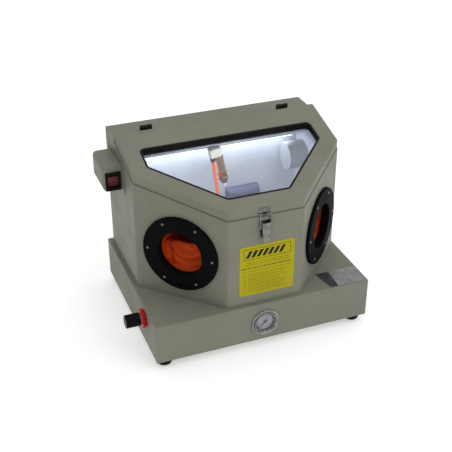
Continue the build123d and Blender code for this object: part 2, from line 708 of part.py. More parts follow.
def make_gun():
    lean = math.radians(gun_tilt)
    down = (math.sin(lean), 0, -math.cos(lean))
    x, y, z = gun_head
    side = Vector(-math.cos(lean), 0, -math.sin(lean))
    centre = Vector(x, y, z) + side * 9.0
    head = Pos(*centre) * Rot(0, -gun_tilt, 0) * fillet(Box(34, 26, 27).edges(), 4.0)
    save("gun_head", head)
    barrel = rod(along_gun(13.6), down, 12.0, 52)
    barrel = chamfer(barrel.edges().filter_by(GeomType.CIRCLE), 1.2)
    save("gun_barrel", barrel)
    save("gun_nut", hexagonal(along_gun(65.7), down, 24, 15.5))
    cone_top = Plane(origin=along_gun(81.3), z_dir=down)
    cone = extrude(cone_top * Circle(16.5), amount=21, taper=22)
    cone += extrude(cone_top * Circle(16.5), amount=0.1)
    bore = rod(along_gun(80), down, 4.0 + slack, 40)
    save("nozzle_cone", cone - bore)
    tip = rod(along_gun(84), down, 4.0, 28) - rod(along_gun(83), down, 2.5, 40)
    save("nozzle_tip", tip)

    below_head = Vector(*along_gun(13.6)) + side * 19.5
    save("media_fitting", rod(tuple(below_head), down, 7.0, 13))
    hose_start = below_head + Vector(*down) * 13.1
    hx, hy, hz = tuple(hose_start)
    media = [
        (hx, hy, hz), (hx + 3.5, hy, hz - 18), (hx + 6, hy - 1, hz - 46), (hx + 10.5, hy - 2, hz - 78),
        (hx + 12, hy - 4, hz - 111), (hx + 11.5, hy - 8, hz - 146), (hx + 12, hy - 17, hz - 181),
        (hx + 14, hy - 33, hz - 211), (hx + 17, hy - 55, hz - 238), (hx + 18, hy - 78, hz - 258),
        (hx + 18, hy - 98, hz - 273),
    ]
    save("media_hose", hose("media_hose", media, 4.75))
    ex, ey, ez = media[-1]
    last = Vector(*media[-1]) - Vector(*media[-2])
    pick = rod((ex, ey, ez), tuple(last), 5.5, 30)
    save("pickup_tube", pick)

    under = -seam - sheet - 0.1
    strap = block(x - 16, x + 4, y + 13.2, y + 16.2, z - 12, 600) & slab(-400, under - 1)
    strap -= rod((x, y, z), (0, 1, 0), air_hose_radius + 1.0, 30)
    foot = block(x - 16, x + 16, gun_foot_front, y + 16.2, 300, 600) & slab(under - 2.5, under)
    bracket = foot + strap
    for dx in (-11, 11):
        bracket -= rod((x + dx, 112, 300), (0, 0, 1), 1.5 + slack, 300)
    save("gun_bracket", bracket)
    for dx in (-11, 11):
        at = (x + dx, 112, rim(112, under - 2.5) - 0.8)
        body_screws.append(pan_screw(at, (0, 0, 1), 3, 1.8, 1.5, 2.2))


# ---------------------------------------------------------------- lamp and switch
def make_lamp():
    wall = cabinet_back - sheet - 0.05
    left = -cabinet_half + 5.5
    right = 255
    tray = block(left, right, wall - 42, wall, 396, 432)
    tray = fillet(tray.edges().filter_by(Axis.X).group_by(Axis.Z)[-1].sort_by(Axis.Y)[0], 8.0)
    hollow = block(left + sheet, right - sheet, wall - 42 + sheet, wall - sheet, 380, 432 - sheet)
    top_edge = hollow.edges().filter_by(Axis.X).group_by(Axis.Z)[-1].sort_by(Axis.Y)[0]
    tray -= fillet(top_edge, 6.5)
    tray -= rod((left - 1, wire_y, wire_z), (1, 0, 0), wire_hole, 5)
    save("lamp_housing", tray)
    lens = block(left + 2, right - 2, wall - 39.8, wall - 2.2, 392, 402)
    lens = fillet(lens.faces().sort_by(Axis.Z)[0].edges(), 3.0)
    lens -= block(left + 3.5, right - 3.5, wall - 38.3, wall - 3.7, 393.5, 405)
    save("lamp_lens", lens)


box_back = 167.5
box_out = -340.0
box_low = 383.0
box_high = 450.0


def make_switch():
    wall = -cabinet_half
    plate = block(wall - 1.5, wall, 38.5, 192.5, 374, 453)
    plate = fillet(plate.edges().filter_by(Axis.X), 4.0)
    plate -= rod((wall + 5, wire_y, wire_z), (-1, 0, 0), wire_hole, 15)
    for y in (46, 185):
        for z in (382, 445):
            at = (wall - 1.5, y, z)
            plate -= rod(at, (1, 0, 0), 2 + slack, 5)
            body_screws.append(pan_screw(at, (1, 0, 0), 3.8, 2.0, 2.0, 1.4))
    save("switch_plate", plate)

    box = block(box_out, wall - 1.6, switch_y, box_back, box_low, box_high)
    box = fillet(box.faces().sort_by(Axis.X)[0].edges(), 11.5)
    hollow = block(box_out + sheet, wall, switch_y + sheet, box_back - sheet, box_low + sheet, box_high - sheet)
    box -= fillet(hollow.faces().sort_by(Axis.X)[0].edges(), 10.0)
    box -= block(switch_x - 17.2, switch_x + 17.2, switch_y - 5, switch_y + 5, switch_z - 22.2, switch_z + 22.2)
    gland_at = (switch_x, 140, box_low)
    box -= rod((switch_x, 140, box_low - 3), (0, 0, 1), 8 + slack, 8)
    save("switch_box", box)

    bezel = block(switch_x - 20.5, switch_x + 20.5, switch_y - 2.8, switch_y - 0.05, switch_z - 26, switch_z + 26)
    bezel = fillet(bezel.edges().filter_by(Axis.Y), 2.5)
    bezel += block(switch_x - 17, switch_x + 17, switch_y - 0.1, switch_y + 24, switch_z - 22, switch_z + 22)
    bezel -= block(switch_x - 14, switch_x + 14, switch_y - 9, switch_y + 21, switch_z - 18, switch_z + 18)
    hole = (switch_x - 16, switch_y + 6, switch_z)
    bezel -= rod(hole, (1, 0, 0), 1.5 + slack, 32)
    save("switch_bezel", bezel)
    # Rocker seen from the side: a shallow V whose upper half stands out at rest.
    front = switch_y + 6
    corners = [
        (front - 9.2, switch_z + 14.7), (front - 7.4, switch_z), (front - 3.6, switch_z - 16.9),
        (front + 6, switch_z - 9), (front + 8, switch_z), (front + 3, switch_z + 14),
    ]
    rocker = Pos(switch_x, 0, 0) * across(corners, 13.5)
    rocker += rod((switch_x - 15.8, front, switch_z), (1, 0, 0), 1.5, 31.6)
    save("switch_rocker", rocker)
    gland = hexagonal(gland_at, (0, 0, -1), 20, 5) + rod(gland_at, (0, 0, 1), 8, 9)
    dome = rod((switch_x, 140, box_low - 5), (0, 0, -1), 8.5, 14)
    tip = dome.edges().filter_by(GeomType.CIRCLE).sort_by(Axis.Z)[0]
    dome = fillet(tip, 3.0)
    gland = gland + dome - rod((switch_x, 140, box_low - 30), (0, 0, 1), 3.8, 50)
    save("power_gland", gland)


# ---------------------------------------------------------------- plates
def make_plates():
    face = cabinet_front
    label = block(-71, 80, face - 0.6, face - 0.05, 163, 310)
    save("label_plate", fillet(label.edges().filter_by(Axis.Y), 6.0))
    front = -base_depth / 2
    corners = [(190, front + 4), (295, front + 4), (295, front + 75), (176, front + 75)]
    plate = column(make_face(Polyline(*corners, close=True)), base_top + 0.05, base_top + 0.8)
    save("name_plate", plate)


make_base()
make_cabinet()
make_vents()
make_lid()
make_hinges()
make_latch()
make_gloves()
make_gauge()
make_regulator()
make_gauge_line()
make_gun()
make_lamp()
make_switch()
make_plates()
save("body_screws", *body_screws)
save("lid_rivets", *lid_rivets)

os.makedirs("parts", exist_ok=True)
for name, shape in parts.items():
    export_step(shape, f"parts/{name}.step")
print(len(parts), "nodes")
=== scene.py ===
import math

import bpy
import numpy as np
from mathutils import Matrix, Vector


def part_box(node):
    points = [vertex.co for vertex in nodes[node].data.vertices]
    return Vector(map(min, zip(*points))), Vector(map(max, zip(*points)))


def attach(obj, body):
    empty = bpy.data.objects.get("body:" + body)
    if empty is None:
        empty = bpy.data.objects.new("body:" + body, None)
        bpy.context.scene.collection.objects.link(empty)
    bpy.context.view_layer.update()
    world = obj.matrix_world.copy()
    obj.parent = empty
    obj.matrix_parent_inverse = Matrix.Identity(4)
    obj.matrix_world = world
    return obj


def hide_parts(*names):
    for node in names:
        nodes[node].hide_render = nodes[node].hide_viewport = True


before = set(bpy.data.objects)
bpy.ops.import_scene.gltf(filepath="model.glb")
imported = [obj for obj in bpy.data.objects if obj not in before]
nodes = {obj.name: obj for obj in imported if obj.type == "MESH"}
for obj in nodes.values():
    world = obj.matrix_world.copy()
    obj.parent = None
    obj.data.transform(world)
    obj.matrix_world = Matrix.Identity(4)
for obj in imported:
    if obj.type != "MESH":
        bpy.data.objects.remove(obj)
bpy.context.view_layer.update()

# Bench-top blast cabinet. Metres, +Z up, the operator stands at -Y.

scene = bpy.context.scene
print("frame loaded:", len(nodes), "nodes")

# camera, floor and light

camera = {
    "place": (-0.7854, -1.9678, 1.4877),
    "yaw": 21.2,
    "pitch": 30.5,
    "lens": 71.49,
    "sensor": 36.0,
    "reach": 400.0,
}


def makeCamera():
    data = bpy.data.cameras.new("camera")
    data.lens = camera["lens"]
    data.sensor_width = camera["sensor"]
    data.clip_end = camera["reach"]
    shot = bpy.data.objects.new("camera", data)
    scene.collection.objects.link(shot)
    yaw, pitch = math.radians(camera["yaw"]), math.radians(camera["pitch"])
    look = Vector((math.sin(yaw) * math.cos(pitch), math.cos(yaw) * math.cos(pitch),
                   -math.sin(pitch)))
    shot.location = camera["place"]
    shot.rotation_euler = look.to_track_quat("-Z", "Y").to_euler()
    scene.camera = shot


world = {"horizon": 0.42, "zenith": 1.10, "side": 0.22}
floor = {"colour": 0.80, "glow": 0.40, "rough": 0.9, "shine": 0.2, "reach": 180.0}
lights = {
    "key": {
        "place": (1.6, -2.8, 2.6), "target": (0, 0, 0.25), "size": (2.0, 2.0), "power": 14.0,
        "colour": (1, 1, 1),
    },
    # this one sits just under the lamp's lens and looks forward and down from there
    "cabinetLamp": {
        "under": 0.004, "forward": 0.16, "down": 0.25, "shorter": 0.02, "width": 0.03,
        "power": 0.48, "colour": (0.80, 0.88, 1.0),
    },
    "windowLight": {
        "place": (0.0, -0.05, 0.385), "target": (0.03, 0.20, 0.26), "size": (0.30, 0.07),
        "power": 0.55, "colour": (0.80, 0.88, 1.0),
    },
}


def makeWorld():
    # strength climbs from the horizon to the zenith, plus a share of how far right a ray points
    scene.view_settings.view_transform = "Standard"
    backdrop = bpy.data.worlds.new("studio")
    backdrop.use_nodes = True
    tree = backdrop.node_tree
    shader = tree.nodes["Background"]
    axes = tree.nodes.new("ShaderNodeSeparateXYZ")
    direction = tree.nodes.new("ShaderNodeTexCoord")
    tree.links.new(direction.outputs["Generated"], axes.inputs[0])
    ramp = tree.nodes.new("ShaderNodeMapRange")
    tree.links.new(axes.outputs["Z"], ramp.inputs["Value"])
    ramp.inputs["To Min"].default_value = world["horizon"]
    ramp.inputs["To Max"].default_value = world["zenith"]
    toRight = tree.nodes.new("ShaderNodeMath")
    toRight.operation = "MULTIPLY_ADD"
    toRight.inputs[1].default_value = world["side"]
    tree.links.new(axes.outputs["X"], toRight.inputs[0])
    tree.links.new(ramp.outputs[0], toRight.inputs[2])
    tree.links.new(toRight.outputs[0], shader.inputs["Strength"])
    shader.inputs["Color"].default_value = (1.0, 1.0, 1.0, 1.0)
    scene.world = backdrop


def aimedLight(name, place, target, size):
    data = bpy.data.lights.new(name, "AREA")
    data.shape = "RECTANGLE"
    data.size, data.size_y = size
    data.energy = lights[name]["power"]
    data.color = lights[name]["colour"]
    light = bpy.data.objects.new(name, data)
    scene.collection.objects.link(light)
    light.location = place
    light.rotation_euler = (Vector(target) - Vector(place)).to_track_quat("-Z", "Y").to_euler()


def makeLights():
    row = lights["key"]
    aimedLight("key", row["place"], row["target"], row["size"])
    row = lights["cabinetLamp"]
    low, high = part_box("lamp_lens")
    centre = ((low.x + high.x) / 2, (low.y + high.y) / 2, low.z - row["under"])
    target = (centre[0], centre[1] - row["forward"], centre[2] - row["down"])
    size = (high.x - low.x - row["shorter"], row["width"])
    aimedLight("cabinetLamp", centre, target, size)
    row = lights["windowLight"]
    aimedLight("windowLight", row["place"], row["target"], row["size"])


def makeFloor():
    mesh = bpy.data.meshes.new("floor")
    reach = floor["reach"]
    corners = [(-reach, -reach, 0), (reach, -reach, 0), (reach, reach, 0), (-reach, reach, 0)]
    mesh.from_pydata(corners, [], [(0, 1, 2, 3)])
    ground = bpy.data.objects.new("floor", mesh)
    scene.collection.objects.link(ground)
    white = bpy.data.materials.new("floorWhite")
    white.use_nodes = True
    shader = white.node_tree.nodes["Principled BSDF"]
    shader.inputs["Base Color"].default_value = (*[floor["colour"]] * 3, 1.0)
    shader.inputs["Emission Color"].default_value = (1.0, 1.0, 1.0, 1.0)
    shader.inputs["Emission Strength"].default_value = floor["glow"]
    shader.inputs["Roughness"].default_value = floor["rough"]
    shader.inputs["Specular IOR Level"].default_value = floor["shine"]
    mesh.materials.append(white)


makeCamera()
makeWorld()
makeLights()
makeFloor()
print("camera and studio ready")

# node helpers


def feed(tree, socket, value):
    if isinstance(value, bpy.types.NodeSocket):
        tree.links.new(value, socket)
    elif value is not None:
        if socket.type == "RGBA" and len(value) == 3:
            value = (*value, 1.0)
        socket.default_value = value


def add(tree, kind, settings=None, **values):
    node = tree.nodes.new(kind)
    for key, value in (settings or {}).items():
        setattr(node, key, value)
    for key, value in values.items():
        feed(tree, node.inputs[key], value)
    return node


def inOrder(tree, kind, settings, *values):
    # a node whose inputs are filled from the first one on
    node = add(tree, kind, settings)
    for socket, value in zip(node.inputs, values):
        feed(tree, socket, value)
    return node


def calc(tree, operation, *values):
    return inOrder(tree, "ShaderNodeMath", {"operation": operation}, *values).outputs[0]


def between(tree, value, low, high, toLow=0.0, toHigh=1.0):
    settings = {"interpolation_type": "SMOOTHSTEP"}
    return inOrder(tree, "ShaderNodeMapRange", settings, value, low, high, toLow,
                   toHigh).outputs[0]


def product(tree, values):
    whole = values[0]
    for value in values[1:]:
        whole = calc(tree, "MULTIPLY", whole, value)
    return whole


def mixed(tree, factor, first, second):
    node = add(tree, "ShaderNodeMix", {"data_type": "RGBA"})
    for index, value in ((0, factor), (6, first), (7, second)):
        feed(tree, node.inputs[index], value)
    return node.outputs[2]


def noise(tree, vector, scale, detail=2.0, roughness=0.5):
    return add(tree, "ShaderNodeTexNoise", None, Vector=vector, Scale=scale, Detail=detail,
               Roughness=roughness).outputs["Fac"]


def stretched(tree, vector, scale):
    return inOrder(tree, "ShaderNodeVectorMath", {"operation": "MULTIPLY"}, vector,
                   scale).outputs[0]


def newGroup(name, inputs, outputs):
    group = bpy.data.node_groups.new(name, "ShaderNodeTree")
    for title, kind, value in inputs:
        socket = group.interface.new_socket(name=title, in_out="INPUT", socket_type=kind)
        if value is not None:
            socket.default_value = value
    for title, kind in outputs:
        group.interface.new_socket(name=title, in_out="OUTPUT", socket_type=kind)
    given = group.nodes.new("NodeGroupInput").outputs
    return group, given, group.nodes.new("NodeGroupOutput").inputs


def placeGroup(tree, group, **values):
    return add(tree, "ShaderNodeGroup", {"node_tree": group}, **values).outputs


floatKind, vectorKind = "NodeSocketFloat", "NodeSocketVector"


def makeSurfaceGroup():
    # fine grain on a slow waviness; large soft blotches; sparse long scratches
    group, given, out = newGroup(
        "surfaceDetail",
        [("Vector", vectorKind, None), ("Grain", floatKind, 800.0), ("Blotch", floatKind, 8.0)],
        [("Height", floatKind), ("Blotches", floatKind), ("Scratches", floatKind)],
    )
    vector = given["Vector"]
    fine = noise(group, vector, given["Grain"], 2.0, 0.55)
    slow = noise(group, vector, calc(group, "MULTIPLY", given["Grain"], 0.17), 1.0)
    group.links.new(calc(group, "MULTIPLY_ADD", slow, 0.7, fine), out["Height"])
    large = noise(group, vector, given["Blotch"], 4.0, 0.6)
    group.links.new(between(group, large, 0.3, 0.7), out["Blotches"])
    turned = add(group, "ShaderNodeMapping", None, Vector=vector, Rotation=(0.5, 0.9, 0.3),
                 Scale=(14.0, 160.0, 160.0))
    lines = noise(group, turned.outputs[0], 3.0, 2.0, 0.5)
    where = between(group, noise(group, vector, 17.0, 1.0), 0.52, 0.66)
    thin = between(group, lines, 0.70, 0.74)
    group.links.new(calc(group, "MULTIPLY", thin, where), out["Scratches"])
    return group


def makeDustGroup():
    # grey dust settles where the surface looks up, broken up by soft noise
    group, given, out = newGroup(
        "settledDust",
        [("Vector", vectorKind, None), ("Amount", floatKind, 0.3)],
        [("Dust", floatKind)],
    )
    normal = add(group, "ShaderNodeNewGeometry").outputs["Normal"]
    facing = add(group, "ShaderNodeSeparateXYZ", None, Vector=normal)
    upward = between(group, facing.outputs["Z"], 0.25, 0.95)
    cloud = between(group, noise(group, given["Vector"], 26.0, 5.0, 0.62), 0.35, 0.75)
    speck = between(group, noise(group, given["Vector"], 420.0, 2.0), 0.55, 0.70)
    both = calc(group, "MULTIPLY_ADD", speck, 0.35, cloud)
    group.links.new(product(group, (both, upward, given["Amount"])), out["Dust"])
    return group


def makeEdgeGroup():
    # lighter edges, part worn paint and part painted highlight along every edge: where the
    # rounded normal leaves the true one, broken up by noise
    group, given, out = newGroup(
        "edgeWearAndHighlight",
        [("Vector", vectorKind, None), ("Rounded", vectorKind, None), ("Amount", floatKind, 0.4)],
        [("Wear", floatKind)],
    )
    true = add(group, "ShaderNodeNewGeometry").outputs["Normal"]
    agree = inOrder(group, "ShaderNodeVectorMath", {"operation": "DOT_PRODUCT"},
                    given["Rounded"], true)
    edge = between(group, agree.outputs["Value"], 0.995, 0.93)
    broken = between(group, noise(group, given["Vector"], 90.0, 4.0, 0.6), 0.42, 0.62)
    group.links.new(product(group, (edge, broken, given["Amount"])), out["Wear"])
    return group


def makeBrushGroup():
    # fine parallel lines: noise stretched along one direction
    group, given, out = newGroup(
        "brushedLines",
        [("Vector", vectorKind, None), ("Stretch", vectorKind, (900.0, 900.0, 40.0))],
        [("Lines", floatKind)],
    )
    drawn = stretched(group, given["Vector"], given["Stretch"])
    group.links.new(noise(group, drawn, 1.0, 3.0, 0.6), out["Lines"])
    return group


def makeDotGroup():
    # round holes on a square lattice, from how far a point is from the middle of its cell
    group, given, out = newGroup(
        "dotLattice",
        [("U", floatKind, 0.0), ("V", floatKind, 0.0), ("Pitch", floatKind, 0.004)],
        [("Hole", floatKind)],
    )
    squares = []
    for title in ("U", "V"):
        cell = calc(group, "FRACT", calc(group, "DIVIDE", given[title], given["Pitch"]))
        aside = calc(group, "ABSOLUTE", calc(group, "SUBTRACT", cell, 0.5))
        squares.append(calc(group, "POWER", aside, 2.0))
    distance = calc(group, "SQRT", calc(group, "ADD", *squares))
    group.links.new(between(group, distance, 0.34, 0.24), out["Hole"])
    return group


surfaceGroup = makeSurfaceGroup()
dustGroup = makeDustGroup()
edgeGroup = makeEdgeGroup()
brushGroup = makeBrushGroup()
dotGroup = makeDotGroup()

# one finish per row: colours are linear, rough is the range that blotches move between; the edge
# colour is lighter, part wear and part painted highlight

finishes = {
    "paint": {
        "colour": (0.214, 0.215, 0.171), "second": (0.196, 0.197, 0.156), "rough": (0.44, 0.56),
        "grain": 620.0, "bump": 0.10, "dust": 0.10, "dustColour": (0.27, 0.265, 0.235),
        "edge": 0.0012, "wear": 0.30, "wearAndHighlightColour": (0.28, 0.28, 0.235), "scratch": 0.10,
        "shine": 0.10,
    },
    "innerSteel": {
        "colour": (0.60, 0.62, 0.67), "second": (0.50, 0.52, 0.57), "rough": (0.45, 0.62),
        "grain": 500.0, "bump": 0.12, "dust": 0.30, "dustColour": (0.46, 0.45, 0.44),
        "scratch": 0.12,
    },
    "footRubber": {
        "colour": (0.006, 0.006, 0.006), "second": (0.012, 0.012, 0.012), "rough": (0.55, 0.75),
        "grain": 900.0, "bump": 0.25, "dust": 0.04, "dustColour": (0.08, 0.08, 0.075),
        "shine": 0.12,
    },
    "ringPlastic": {
        "colour": (0.0032, 0.0032, 0.0034), "second": (0.0048, 0.0048, 0.005),
        "rough": (0.50, 0.64), "grain": 1100.0, "bump": 0.14, "dust": 0.03,
        "dustColour": (0.05, 0.05, 0.048), "edge": 0.0008, "wear": 0.30,
        "wearAndHighlightColour": (0.016, 0.016, 0.016), "scratch": 0.25, "shine": 0.02,
    },
    "blackPlastic": {
        "colour": (0.004, 0.004, 0.0042), "second": (0.007, 0.007, 0.0074), "rough": (0.24, 0.36),
        "grain": 1400.0, "bump": 0.08, "dust": 0.02, "dustColour": (0.06, 0.06, 0.06),
        "edge": 0.0005, "wear": 0.30, "wearAndHighlightColour": (0.02, 0.02, 0.02), "shine": 0.05,
    },
    "blackMetal": {
        "colour": (0.005, 0.005, 0.005), "second": (0.010, 0.010, 0.010), "rough": (0.34, 0.48),
        "grain": 900.0, "bump": 0.12, "dust": 0.04, "dustColour": (0.08, 0.08, 0.08),
        "edge": 0.0004, "wear": 0.35, "wearAndHighlightColour": (0.09, 0.09, 0.085), "shine": 0.12,
    },
    "coneMetal": {
        "colour": (0.20, 0.165, 0.135), "second": (0.13, 0.105, 0.085), "rough": (0.28, 0.42),
        "metallic": 0.9, "grain": 700.0, "bump": 0.10, "dust": 0.08,
        "dustColour": (0.3, 0.3, 0.3),
    },
    "brightSteel": {
        "colour": (0.25, 0.245, 0.23), "second": (0.14, 0.135, 0.125), "rough": (0.24, 0.40),
        "metallic": 1.0, "grain": 900.0, "bump": 0.05, "brush": (240.0, 1800.0, 30.0),
        "blotch": 60.0, "dust": 0.04, "dustColour": (0.3, 0.3, 0.28), "scratch": 0.3,
    },
    "dullSteel": {
        "colour": (0.26, 0.26, 0.26), "second": (0.17, 0.17, 0.17), "rough": (0.26, 0.40),
        "metallic": 1.0, "grain": 900.0, "bump": 0.04, "blotch": 120.0,
    },
    "chrome": {
        "colour": (0.27, 0.27, 0.265), "second": (0.19, 0.19, 0.19), "rough": (0.20, 0.34),
        "metallic": 1.0, "grain": 900.0, "bump": 0.03, "blotch": 45.0, "scratch": 0.3,
    },
    "nickel": {
        "colour": (0.86, 0.74, 0.47), "second": (0.62, 0.52, 0.31), "rough": (0.18, 0.28),
        "metallic": 1.0, "grain": 800.0, "bump": 0.03, "brush": (60.0, 60.0, 2400.0),
        "blotch": 30.0, "dust": 0.06, "dustColour": (0.5, 0.5, 0.5),
    },
    "brass": {
        "colour": (0.62, 0.40, 0.13), "second": (0.42, 0.25, 0.07), "rough": (0.22, 0.36),
        "metallic": 1.0, "grain": 800.0, "bump": 0.04, "brush": (90.0, 90.0, 1800.0),
    },
    "redPlastic": {
        "colour": (0.56, 0.007, 0.004), "second": (0.44, 0.005, 0.003), "rough": (0.26, 0.38),
        "grain": 1200.0, "bump": 0.05, "shine": 0.08,
    },
    "hoodBlue": {
        "colour": (0.10, 0.11, 0.20), "second": (0.06, 0.065, 0.12), "rough": (0.45, 0.60),
        "grain": 700.0, "bump": 0.06, "blotch": 30.0,
    },
    "rockerRed": {
        "colour": (0.13, 0.010, 0.013), "second": (0.09, 0.007, 0.009), "rough": (0.14, 0.24),
        "grain": 1200.0, "bump": 0.03, "shine": 0.4,
    },
    "zincBlock": {
        "colour": (0.42, 0.42, 0.43), "second": (0.34, 0.34, 0.35), "rough": (0.42, 0.56),
        "metallic": 0.9, "grain": 420.0, "bump": 0.22,
    },
    "whitePlastic": {
        "colour": (0.66, 0.63, 0.54), "second": (0.56, 0.53, 0.45), "rough": (0.26, 0.38),
        "grain": 900.0, "bump": 0.06, "dust": 0.10, "dustColour": (0.5, 0.5, 0.5),
    },
    "ceramic": {
        "colour": (0.80, 0.78, 0.72), "second": (0.70, 0.67, 0.60), "rough": (0.30, 0.45),
        "grain": 1200.0, "bump": 0.10,
    },
    "orangeHose": {
        "colour": (0.90, 0.13, 0.035), "second": (0.80, 0.11, 0.028), "rough": (0.32, 0.44),
        "grain": 700.0, "bump": 0.06, "dust": 0.06, "dustColour": (0.6, 0.4, 0.3), "shine": 0.3,
    },
    "blackHose": {
        "colour": (0.012, 0.012, 0.012), "second": (0.02, 0.02, 0.02), "rough": (0.42, 0.56),
        "grain": 900.0, "bump": 0.12, "dust": 0.06, "dustColour": (0.1, 0.1, 0.1), "shine": 0.2,
    },
    "gloveRubber": {
        "colour": (0.52, 0.050, 0.004), "second": (0.38, 0.034, 0.003), "rough": (0.40, 0.55),
        "grain": 420.0, "bump": 0.16, "blotch": 14.0, "dust": 0.03,
        "dustColour": (0.45, 0.12, 0.05), "shine": 0.10,
    },
    "labelYellow": {
        "colour": (0.41, 0.355, 0.003), "second": (0.37, 0.32, 0.003), "rough": (0.34, 0.44),
        "grain": 900.0, "bump": 0.03, "shine": 0.12,
    },
    "plateSilver": {
        "colour": (0.30, 0.30, 0.31), "second": (0.20, 0.20, 0.21), "rough": (0.30, 0.44),
        "metallic": 0.7, "grain": 900.0, "bump": 0.05, "blotch": 55.0,
        "brush": (30.0, 1500.0, 1500.0),
    },
    "plateDark": {
        "colour": (0.020, 0.020, 0.021), "second": (0.060, 0.060, 0.062), "rough": (0.36, 0.50),
        "grain": 900.0, "bump": 0.05, "blotch": 55.0, "shine": 0.1,
    },
    "printBlack": {
        "colour": (0.012, 0.012, 0.010), "second": (0.018, 0.018, 0.014), "rough": (0.40, 0.50),
        "grain": 900.0, "bump": 0.02, "shine": 0.1,
    },
    "printGrey": {
        "colour": (0.12, 0.12, 0.125), "second": (0.16, 0.16, 0.165), "rough": (0.40, 0.50),
        "grain": 900.0, "bump": 0.02,
    },
    "dialFace": {
        "colour": (0.52, 0.52, 0.62), "second": (0.46, 0.46, 0.56), "rough": (0.35, 0.45),
        "grain": 900.0, "bump": 0.01, "shine": 0.2,
    },
    "galvanised": {
        "colour": (0.56, 0.58, 0.60), "second": (0.44, 0.46, 0.49), "rough": (0.34, 0.50),
        "metallic": 0.5, "grain": 300.0, "bump": 0.06, "dust": 0.3, "dustColour": (0.5, 0.5, 0.5),
    },
}
materials = {}


def newMaterial(name):
    material = bpy.data.materials.new(name)
    material.use_nodes = True
    tree = material.node_tree
    place = tree.nodes.new("ShaderNodeTexCoord").outputs["Object"]
    materials[name] = material
    return material, tree, tree.nodes["Principled BSDF"], place


# shared by every finish: how far brushing, scratches and dust change the surface
layering = {
    "brushHeight": 0.8,
    "brushShade": 0.82,
    "scratchGain": 1.9,
    "scratchLift": 0.02,
    "dustRough": 0.5,
    "bumpDistance": 0.001,
    "edgeSamples": 4,
}


def finish(name, row, insideOf=None):
    # two colours in blotches, then brushing, inside, scratches, lighter edges that are part wear
    # and part painted highlight, and dust on top
    material, tree, shader, place = newMaterial(name)
    base = row["colour"]
    detail = placeGroup(tree, surfaceGroup, Vector=place, Grain=row["grain"],
                        Blotch=row.get("blotch", 9.0))
    colour = mixed(tree, detail["Blotches"], base, row["second"])
    height = detail["Height"]
    if "brush" in row:
        lines = placeGroup(tree, brushGroup, Vector=place, Stretch=row["brush"])["Lines"]
        height = calc(tree, "MULTIPLY_ADD", lines, layering["brushHeight"], height)
        darker = tuple(c * layering["brushShade"] for c in base)
        colour = mixed(tree, between(tree, lines, 0.35, 0.75), colour, darker)
    if insideOf is not None:
        within = mixed(tree, detail["Blotches"], insideOf["colour"], insideOf["second"])
        colour = mixed(tree, insideMask(tree, place, insideOf), colour, within)
    if "scratch" in row:
        marked = calc(tree, "MULTIPLY", detail["Scratches"], row["scratch"])
        brighter = tuple(min(1.0, c * layering["scratchGain"] + layering["scratchLift"])
                         for c in base)
        colour = mixed(tree, marked, colour, brighter)
    rounded = None
    # edges take a lighter colour: part worn paint, part painted highlight along the edge
    if "edge" in row:
        rounded = add(tree, "ShaderNodeBevel", {"samples": layering["edgeSamples"]},
                      Radius=row["edge"]).outputs[0]
        wornAndLitEdge = placeGroup(tree, edgeGroup, Vector=place, Rounded=rounded,
                          Amount=row["wear"])["Wear"]
        colour = mixed(tree, wornAndLitEdge, colour, row["wearAndHighlightColour"])
    roughness = between(tree, detail["Blotches"], 0.0, 1.0, *row["rough"])
    if "dust" in row:
        dust = placeGroup(tree, dustGroup, Vector=place, Amount=row["dust"])["Dust"]
        colour = mixed(tree, dust, colour, row["dustColour"])
        rougher = calc(tree, "MULTIPLY", dust, layering["dustRough"])
        roughness = calc(tree, "ADD", roughness, rougher)
    bump = add(tree, "ShaderNodeBump", None, Strength=row["bump"],
               Distance=layering["bumpDistance"], Height=height, Normal=rounded)
    for title, value in (
        ("Base Color", colour), ("Roughness", roughness), ("Normal", bump.outputs[0]),
        ("Metallic", row.get("metallic", 0.0)), ("Specular IOR Level", row.get("shine", 0.5)),
    ):
        feed(tree, shader.inputs[title], value)
    material.diffuse_color = (*base, 1.0)
    return material


# the cabinet's inner side: its faces' distances, and the lighter colours there
interior = {
    "half": 0.2862,
    "front": -0.2187,
    "back": 0.2188,
    "low": 0.1358,
    "diagonal": (0.2870 + 0.0350) / math.sqrt(2) - 0.0008,
    "slope": 0.2735,
    "rim": 0.4486,
    "high": 0.4912,
    "backCorner": 0.5025,
    "colour": (0.60, 0.62, 0.67),
    "second": (0.50, 0.52, 0.57),
}


def insideMask(tree, place, row):
    # 1 inside the walls and under the sloping rim, from how far a point is from each of them
    axes = add(tree, "ShaderNodeSeparateXYZ", None, Vector=place)
    y, z = axes.outputs["Y"], axes.outputs["Z"]
    across = calc(tree, "ABSOLUTE", axes.outputs["X"])
    corner = calc(tree, "MULTIPLY", calc(tree, "SUBTRACT", across, y), 1 / math.sqrt(2))
    overSlope = calc(tree, "MULTIPLY_ADD", y, -row["slope"], z)
    tests = (
        ("LESS_THAN", across, "half"),
        ("LESS_THAN", y, "back"),
        ("GREATER_THAN", y, "front"),
        ("LESS_THAN", corner, "diagonal"),
        ("GREATER_THAN", z, "low"),
        ("LESS_THAN", overSlope, "rim"),
        ("LESS_THAN", z, "high"),
        ("LESS_THAN", calc(tree, "ADD", across, y), "backCorner"),
    )
    return product(tree, [calc(tree, how, value, row[limit]) for how, value, limit in tests])


def glass(name, tint):
    _, tree, shader, place = newMaterial(name)
    film = between(tree, noise(tree, place, 60.0, 4.0, 0.6), 0.45, 0.8, 0.0, 0.03)
    for title, value in (("Roughness", film), ("Base Color", tint), ("Metallic", 0.0),
                         ("Transmission Weight", 1.0), ("IOR", 1.45)):
        feed(tree, shader.inputs[title], value)


